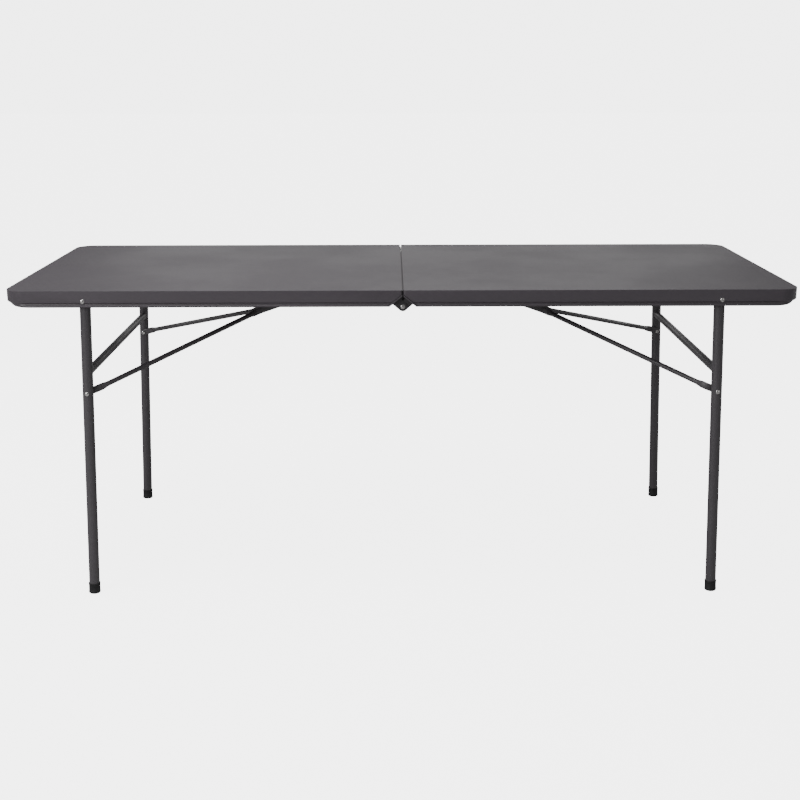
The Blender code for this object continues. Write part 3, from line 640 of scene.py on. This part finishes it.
def tackOffs():
    # moulded dimples in the underside, staggered, clear of the brace bracket
    shape = tackShape
    low, high = slabBottom - 0.003, slabBottom + shape["depth"]
    dimples = bmesh.new()
    row, x = 0, seamX + shape["start"]
    while x < endX - topShape["recessEnd"] - shape["fromEnd"]:
        y = -shape["reach"] + (shape["pitchY"] / 2 if row % 2 else 0)
        while y < shape["reach"] + 0.0001:
            if abs(x - linkAnchor.x) > shape["bracketX"] or abs(y) > shape["bracketY"]:
                bmesh.ops.create_cone(
                    dimples, cap_ends=True, segments=14, radius1=shape["radius"] * shape["mouth"],
                    radius2=shape["radius"] * shape["tip"], depth=high - low,
                    matrix=Matrix.Translation((x, y, (low + high) / 2)),
                )
            y += shape["pitchY"]
        x += shape["pitchX"]
        row += 1
    tips = [edge for edge in dimples.edges if all(vert.co.z > high - 1e-5 for vert in edge.verts)]
    bmesh.ops.bevel(
        dimples, geom=tips, offset=shape["soften"], affect="EDGES", segments=2, profile=0.5, material=-1,
    )
    return dimples


for side in sides:
    addPiece(f"tabletop_{side}", makeHalf(side), f"top_{side}", "top_plastic", f"top_{side}", sharpAngle=38)
print("tabletop halves built")


# side rails with the hinge ears

railShape = {
    "earRadius": 0.0105, "taperStart": 0.022, "earArcEnd": -255, "aboveRim": 0.004, "soften": 0.00035,
    "drill": 0.004,                      # how far a drill goes each way from the middle of the rail
}


def makeRail(side, edge):
    shape = railShape
    low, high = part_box(f"side_rail_{side}_back")
    bottom, top = rimBottom + shape["aboveRim"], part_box("side_rail_right_back")[1].z
    far = max(abs(low.x), abs(high.x))
    radius, taper = shape["earRadius"], shape["taperStart"]
    corner = Vector((taper, bottom - hingeAt.z))
    tangent = math.degrees(math.atan2(corner.y, corner.x) - math.acos(radius / corner.length))
    ear = arc(0, hingeAt.z, radius, tangent, shape["earArcEnd"], 36)
    bm = prism([(far, bottom), (taper, bottom), *ear, (radius, top), (far, top)], low.y, high.y)
    middle = (low.y + high.y) / 2
    drills = [hole(spot.x, spot.z, middle, shape["drill"]) for spot in (Vector((0, 0, hingeAt.z)), legPivot)]
    for index in (1, 2):
        spot = nodeMiddle(f"rail_screw_right_back_{index}")
        drills.append(hole(spot.x, spot.z, middle, shape["drill"], fits["screwBore"]))
    bm = combine(bm, drills)
    softenEdges(bm, shape["soften"])
    return mirrored(bm, side, edge)


for side, edge in corners:
    rail = makeRail(side, edge)
    addPiece(f"sideRail_{side}_{edge}", rail, f"top_{side}", "hinge_paint", f"side_rail_{side}_{edge}")
print("rails built")


# rivets, bolts and screws

headShape = {"height": 0.002, "flange": 0.0004, "radius": 0.005, "hingeRadius": 0.0053, "shank": 0.003}
screwShape = {
    "height": 0.0017, "radius": 0.0034, "shank": 0.0018, "length": 0.0055, "pitch": 0.0007, "root": 0.82,
    "slotLength": 0.0018, "slotWidth": 0.0003, "slotDepth": 0.0009,
}


def rivetProfile(head, shank, grip, tail):
    # domed head above height 0 with a thin flange, then the shank, then the rolled tail
    tall, flange = headShape["height"], headShape["flange"]
    profile = [(0, tall)]
    for angle in quarterTurn(8)[1:]:
        profile.append((head * 0.90 * math.sin(angle), flange + (tall - flange) * math.cos(angle)))
    profile += [(head - 0.0002, flange), (head, flange / 2), (head, flange / 4), (head - 0.0001, 0)]
    profile += [(shank, 0), (shank, -grip)]
    if not tail:
        return profile + [(0, -grip)]
    bottom = -grip - tall
    profile += [(tail - 0.0003, -grip), (tail, -grip - 0.0004), (tail * 0.94, bottom + 0.0005)]
    profile += [(tail * 0.72, bottom), (tail * 0.5, bottom + 0.0002), (tail * 0.32, bottom + 0.0011)]
    return profile + [(0, bottom + 0.0012)]


def addRivet(name, node, body, edge, head, tail):
    # the CAD node's box gives the rivet's line and both its ends
    low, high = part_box(node)
    middle = (low + high) / 2
    outer = high.y if edge > 0 else -low.y
    inner = low.y if edge > 0 else -high.y
    tall = headShape["height"]
    grip = outer - inner - tall - (tall if tail else 0)
    bm = turned(rivetProfile(head, headShape["shank"], grip, tail), 40)
    place(bm, (middle.x, edge * (outer - tall), middle.z), (0, edge, 0))
    addPiece(name, bm, body, "bright_steel", node)


head, hingeHead = headShape["radius"], headShape["hingeRadius"]
for side, edge in corners:
    tag, way = f"{side}_{edge}", edges[edge]
    addRivet(f"legBolt_{tag}", f"leg_bolt_{tag}", f"top_{side}", way, head, head)
    addRivet(f"braceRivet_{tag}", f"brace_rivet_{tag}", f"legs_{side}", way, head, head)
    addRivet(f"knuckleRivet_{tag}", f"knuckle_rivet_{tag}", f"brace_{side}", way, head, 0)
for edge, way in edges.items():
    addRivet(f"hingePin_{edge}", f"hinge_pin_{edge}", "top_left", way, hingeHead, hingeHead)
for side in sides:
    addRivet(f"linkPin_{side}", f"link_pin_{side}", f"top_{side}", 1, head, head)


def makeScrew():
    shape = screwShape
    tall, wide, shank = shape["height"], shape["radius"], shape["shank"]
    profile = [(0, tall), (wide * 0.55, tall * 0.97), (wide * 0.85, tall * 0.72), (wide, tall * 0.25)]
    profile += [(wide, 0.0001), (wide - 0.0001, 0), (shank, 0)]
    z = -0.0005
    while z > -shape["length"] + shank:
        profile += [(shank * shape["root"], z - shape["pitch"] * 0.5), (shank, z - shape["pitch"])]
        z -= shape["pitch"]
    profile += [(0, -shape["length"])]
    bm = turned(profile, 24)
    long, thin = shape["slotLength"], shape["slotWidth"]
    bottom, above = tall - shape["slotDepth"], tall + 0.001
    return combine(bm, [block((-x, -y, bottom), (x, y, above)) for x, y in ((long, thin), (thin, long))])


def addScrew(name, node, body, inward):
    middle = nodeMiddle(node)
    total = screwShape["height"] + screwShape["length"]
    seat = middle + Vector(inward) * (screwShape["height"] - total / 2)
    addPiece(name, place(makeScrew(), seat, -Vector(inward)), body, "bright_steel", node)


for side, edge in corners:
    for index in (1, 2):
        node = f"rail_screw_{side}_{edge}_{index}"
        addScrew(f"railScrew_{side}_{edge}_{index}", node, f"top_{side}", (0, edges[edge], 0))
    addScrew(f"bracketScrew_{side}_{edge}", f"bracket_screw_{side}_{edge}", f"top_{side}", (0, 0, 1))
print("fasteners built")


# legs, feet and crossbars

legShape = {"abovePivot": 0.007, "wall": 0.0012, "trim": 0.0004, "floor": 0.0043, "drill": 0.02}


def makeLeg(side, edge):
    shape = legShape
    length = legPivot.z / legUp.z
    low, high = shape["floor"], length + shape["abovePivot"] + shape["trim"]
    outer, inner = legRadius, legRadius - shape["wall"]
    profile = [(outer, high - 0.0004), (outer, low + 0.0003), (outer - 0.0003, low), (inner + 0.0002, low)]
    profile += [(inner, low + 0.0002), (inner, high - 0.0003), (inner + 0.0003, high), (outer - 0.0004, high)]
    bm = turned(profile + profile[:1], 56)
    start = Vector((legPivot.x, legOffset, legPivot.z)) - legUp * (length + shape["trim"])
    place(bm, start, legUp)
    bm = combine(bm, [hole(spot.x, spot.z, legOffset, shape["drill"]) for spot in (legPivot, braceRivet)])
    return mirrored(bm, side, edge)


footShape = {
    "height": 0.026, "collar": 0.0035, "round": 0.0032, "waist": 0.0004, "legGap": 0.0003,
    "grooves": ((0.0045, 0.006), (0.0082, 0.0095)), "grooveDepth": 0.0017,   # rings under the sole
    "below": 0.05,
}


def makeFoot(side, edge):
    shape, wide, top = footShape, footRadius, footShape["height"]
    sleeve, floorAt = legRadius + shape["legGap"], legShape["floor"] - shape["legGap"]
    collar, waist, corner = top - shape["collar"], wide - shape["waist"], shape["round"]
    profile = [(0, floorAt), (sleeve - 0.001, floorAt), (sleeve, floorAt + 0.0006), (sleeve, top - 0.0003)]
    profile += [(sleeve + 0.0003, top), (wide - 0.0005, top), (wide - 0.0001, top - 0.0004)]
    profile += [(wide, top - 0.001), (wide, collar), (waist, collar - 0.0005)]
    profile += [(waist, corner + 0.0035), (wide, corner + 0.0028)]
    for angle in quarterTurn(6):
        profile.append((wide - corner * (1 - math.cos(angle)), corner * (1 - math.sin(angle))))
    for inner, outer in reversed(shape["grooves"]):
        roof = shape["grooveDepth"]
        profile += [(outer, 0), (outer - 0.0003, roof), (inner + 0.0003, roof), (inner, 0)]
    profile += [(0, 0)]
    bm = turned(profile, 48)
    sole = Vector((footSpot.x, legOffset, 0)) - legUp * legShape["trim"] / legUp.z
    place(bm, sole, legUp)
    reach = Vector((shape["below"], shape["below"], 0))
    floor = block(sole - reach - Vector((0, 0, shape["below"])), Vector((sole.x, sole.y, 0)) + reach)
    bm = combine(bm, [floor])
    return mirrored(bm, side, edge)


weldShape = {"bead": 0.0016, "steps": 84, "beadSides": 8, "lumps": (0.85, 1.15), "seed": 7}


def addWeld(bm, way, barRadius):
    # a rippled bead that follows the saddle where the crossbar meets the leg
    shape, steps = weldShape, weldShape["steps"]
    rng = random.Random(shape["seed"] + way)
    lumps = [rng.uniform(*shape["lumps"]) for _ in range(steps)]
    weld = bmesh.new()
    circle = bmesh.ops.create_circle(
        weld, cap_ends=False, segments=shape["beadSides"], radius=shape["bead"],
    )["verts"]
    bmesh.ops.rotate(weld, verts=circle, matrix=Matrix.Rotation(math.pi / 2, 3, "X"))
    bmesh.ops.translate(weld, verts=circle, vec=(barRadius, 0, 0))
    bmesh.ops.spin(
        weld, geom=weld.verts[:] + weld.edges[:], cent=(0, 0, 0), axis=(0, 0, 1), dvec=(0, 0, 0),
        angle=math.tau, steps=steps, use_merge=True, use_duplicate=False,
    )
    bmesh.ops.remove_doubles(weld, verts=weld.verts, dist=fits["merge"])
    for vert in weld.verts:
        angle = math.atan2(vert.co.y, vert.co.x) % math.tau
        lump = lumps[round(angle / math.tau * steps) % steps]
        middle = Vector((math.cos(angle), math.sin(angle), 0)) * barRadius
        swollen = middle + (Vector((vert.co.x, vert.co.y, 0)) - middle) * lump
        # its x is the distance from the leg's line, which sets how far the saddle reaches
        saddle = math.sqrt(legRadius**2 - min(swollen.x**2, legRadius**2 * 0.9))
        vert.co = Vector((swollen.x, swollen.y, vert.co.z * lump - saddle))
    # x goes across the leg, y up it, and z out along the crossbar
    turn = Matrix(((legUp.z, legUp.x, 0, 0), (0, 0, 1, 0), (-legUp.x, legUp.z, 0, 0), (0, 0, 0, 1)))
    bmesh.ops.transform(weld, matrix=turn, verts=weld.verts)
    bmesh.ops.translate(weld, vec=(crossbarAt.x, legOffset, crossbarAt.z), verts=weld.verts)
    bmesh.ops.scale(weld, vec=(1, way, 1), verts=weld.verts)
    bmesh.ops.recalc_face_normals(weld, faces=weld.faces)
    pour(bm, weld)


def makeCrossbar(side):
    low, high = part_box("crossbar_right")
    radius = (high.z - low.z) / 2
    inner = radius - legShape["wall"]
    profile = [(radius, legOffset), (radius, -legOffset), (inner, -legOffset), (inner, legOffset)]
    bm = turned(profile + profile[:1], 48)
    place(bm, (crossbarAt.x, 0, crossbarAt.z), (0, 1, 0))
    copes = []
    for way in edges.values():
        middle = Vector((crossbarAt.x, way * legOffset, crossbarAt.z))
        copes.append(rod(middle - legUp * 0.02, middle + legUp * 0.02, legRadius + 0.0002, 64))
    bm = combine(bm, copes)
    for way in edges.values():
        addWeld(bm, way, radius)
    return mirrored(bm, side)


for side, edge in corners:
    tag, body = f"{side}_{edge}", f"legs_{side}"
    addPiece(f"legTube_{tag}", makeLeg(side, edge), body, "frame_paint", f"leg_{tag}")
    addPiece(f"footCap_{tag}", makeFoot(side, edge), body, "foot_plastic", f"foot_{tag}")
for side in sides:
    addPiece(f"crossbar_tube_{side}", makeCrossbar(side), f"legs_{side}", "frame_paint", f"crossbar_{side}")
print("leg frames built")


# folding braces

armShape = {
    "thin": 0.0024, "wide": 0.0166, "tube": 0.006, "eye": 0.008, "legFlat": 0.020, "knuckleFlat": 0.062,
    "flatten": 0.014, "bend": 0.030, "steps": 24, "sideGap": 0.0003, "tip": 0.35, "drill": 0.003,
}


def armLine(length, legSide, knuckleSide):
    # stations along the arm: distance, offset from the table's middle, heading, and 0 flat to 1 round
    shape, bend, eye = armShape, armShape["bend"], armShape["eye"]
    slant = math.atan2(legSide - knuckleSide, length - shape["legFlat"] - shape["knuckleFlat"])
    tangent = bend * math.tan(slant / 2)
    first, last = shape["legFlat"] - tangent, length - shape["knuckleFlat"] + tangent
    turns = [slant * i / 8 for i in range(9)]
    stations = [(-eye + eye * (1 - math.cos(angle)), legSide, 0, 0) for angle in quarterTurn(6)]
    for turn in turns:
        stations.append((first + bend * math.sin(turn), legSide - bend * (1 - math.cos(turn)), turn, 0))
    start, offset = stations[-1][:2]
    finish = last - bend * math.sin(slant)
    rounding = [(i / 8, (i / 8) ** 2 * (3 - 2 * i / 8)) for i in range(1, 9)]
    middle = [(start + shape["flatten"] * along, fat) for along, fat in rounding]
    middle += [(start + (finish - start) * along, 1) for along in (0.15, 0.3, 0.45, 0.6, 0.75, 0.88)]
    middle += [(finish - shape["flatten"] * along, fat) for along, fat in reversed(rounding)]
    for distance, fat in sorted(middle):
        stations.append((distance, offset - (distance - start) * math.tan(slant), slant, fat))
    for turn in reversed(turns):
        stations.append((last - bend * math.sin(turn), knuckleSide + bend * (1 - math.cos(turn)), turn, 0))
    stations += [(length + eye * math.sin(angle), knuckleSide, 0, 0) for angle in quarterTurn(6)]
    return stations


def makeArm(side, edge):
    shape = armShape
    along = knuckle - braceRivet
    along.y = 0
    length = along.length
    along = along / length
    up = Vector((-along.z, 0, along.x))
    legSide = legOffset - legRadius - shape["sideGap"] - shape["thin"] / 2
    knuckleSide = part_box("brace_arm_right_back")[0].y + shape["thin"] / 2
    stations = armLine(length, legSide, knuckleSide)
    bm = bmesh.new()
    ring = bmesh.ops.create_circle(bm, cap_ends=False, segments=shape["steps"], radius=1)["verts"]
    around = [math.atan2(vert.co.y, vert.co.x) for vert in ring]
    rings = [ring]
    loop = bm.edges[:]
    for _ in stations[1:]:
        made = bmesh.ops.extrude_edge_only(bm, edges=loop)["geom"]
        loop = [item for item in made if isinstance(item, bmesh.types.BMEdge)]
        fresh = [item for item in made if isinstance(item, bmesh.types.BMVert)]
        byAngle = {round(math.atan2(vert.co.y, vert.co.x), 4): vert for vert in fresh}
        rings.append([byAngle[round(angle, 4)] for angle in around])
    for (distance, offset, heading, fat), verts in zip(stations, rings):
        thin = shape["thin"] / 2 + (shape["tube"] - shape["thin"] / 2) * fat
        wide = shape["wide"] / 2 + (shape["tube"] - shape["wide"] / 2) * fat
        past = max(-distance, distance - length, 0) / shape["eye"]
        shrink = math.sqrt(max(1 - past * past, 0))
        wide = max(wide * (shape["tip"] + (1 - shape["tip"]) * shrink), thin)
        for angle, vert in zip(around, verts):
            aside, rise = thin * math.cos(angle), 0
            if abs(math.sin(angle)) > 1e-6:
                rise = math.copysign(wide - thin, math.sin(angle)) + thin * math.sin(angle)
            spot = braceRivet + along * (distance + aside * math.sin(heading)) + up * rise
            vert.co = (spot.x, offset + aside * math.cos(heading), spot.z)
    for end in (rings[0], rings[-1]):
        bm.faces.new(end)
    bmesh.ops.recalc_face_normals(bm, faces=bm.faces)
    bm = combine(bm, [
        hole(braceRivet.x, braceRivet.z, legSide, shape["drill"]),
        hole(knuckle.x, knuckle.z, knuckleSide, shape["drill"]),
    ])
    return mirrored(bm, side, edge)


for side, edge in corners:
    arm, node = makeArm(side, edge), f"brace_arm_{side}_{edge}"
    addPiece(f"braceArm_{side}_{edge}", arm, f"brace_{side}", "frame_paint", node, sharpAngle=45)


linkShape = {
    "halfHeight": 0.007, "inner": 0.006, "web": 0.0014, "webSetback": 0.014, "past": 0.003, "soften": 0.0003,
}


def hull(tools):
    # the convex hull round several simple solids
    bm = bmesh.new()
    for tool in tools:
        pour(bm, tool)
    result = bmesh.ops.convex_hull(bm, input=bm.verts)
    inside = [item for item in result["geom_interior"] if isinstance(item, bmesh.types.BMVert)]
    bmesh.ops.delete(bm, geom=inside, context="VERTS")
    bmesh.ops.dissolve_limit(bm, angle_limit=math.radians(1), verts=bm.verts, edges=bm.edges)
    return bm


def makeLink(side):
    # a channel: two cheeks with a web along the bottom, set back from both pins
    shape = linkShape
    half = Vector((0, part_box("brace_link_right")[1].y, 0))
    vector = knuckle - linkAnchor
    vector.y = 0
    length, along = vector.length, vector.normalized()
    up = Vector((-along.z, 0, along.x))
    if up.z < 0:
        up = -up
    spots = (linkAnchor, linkAnchor + vector)
    bm = hull([rod(spot - half, spot + half, shape["halfHeight"], 48) for spot in spots])
    margin, web = shape["halfHeight"] + shape["past"], -shape["halfHeight"] + shape["web"]
    near, far = shape["webSetback"], length - shape["webSetback"]
    inside = [(-margin, -margin), (near, -margin), (near, web), (far, web), (far, -margin)]
    inside += [(length + margin, -margin), (length + margin, margin), (-margin, margin)]
    outline = [linkAnchor + along * u + up * v for u, v in inside]
    tools = [prism([(spot.x, spot.z) for spot in outline], -shape["inner"], shape["inner"])]
    tools += [hole(spot.x, spot.z, 0, half.y + 0.004) for spot in (linkAnchor, knuckle)]
    bm = combine(bm, tools)
    softenEdges(bm, shape["soften"])
    return mirrored(bm, side)


bracketShape = {"thick": 0.0016, "eye": 0.0068, "corner": 0.005, "linkGap": 0.0005, "soften": 0.0003}


def makeBracket(side):
    shape, thick, eye = bracketShape, bracketShape["thick"], bracketShape["eye"]
    seat = bracketHigh.z - thick
    plate = block((bracketLow.x, bracketLow.y, seat), tuple(bracketHigh))
    uprights = [edge for edge in plate.edges if abs(edge.verts[0].co.z - edge.verts[1].co.z) > thick / 2]
    bmesh.ops.bevel(
        plate, geom=uprights, offset=shape["corner"], affect="EDGES", segments=8, profile=0.5, material=-1,
    )
    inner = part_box("brace_link_right")[1].y + shape["linkGap"]
    ears = []
    for way in edges.values():
        lowY, highY = sorted((way * inner, way * (inner + thick)))
        pin = rod((linkAnchor.x, lowY, linkAnchor.z), (linkAnchor.x, highY, linkAnchor.z), eye, 48)
        top = block((linkAnchor.x - eye, lowY, seat), (linkAnchor.x + eye, highY, seat + thick / 2))
        ears.append(hull([pin, top]))
    bm = combine(plate, ears, "UNION")
    drills = [hole(linkAnchor.x, linkAnchor.z, 0, 0.02)]
    for edge in edges:
        spot = nodeMiddle(f"bracket_screw_right_{edge}")
        spot.z = seat
        ends = (spot - Vector((0, 0, 0.003)), spot + Vector((0, 0, 0.005)))
        drills.append(rod(*ends, fits["screwBore"], 24))
    bm = combine(bm, drills)
    softenEdges(bm, shape["soften"])
    return mirrored(bm, side)


for side in sides:
    addPiece(f"braceLink_{side}", makeLink(side), f"link_{side}", "frame_paint", f"brace_link_{side}")
    addPiece(f"braceBracket_{side}", makeBracket(side), f"top_{side}", "hinge_paint", f"brace_bracket_{side}")
print("braces built")
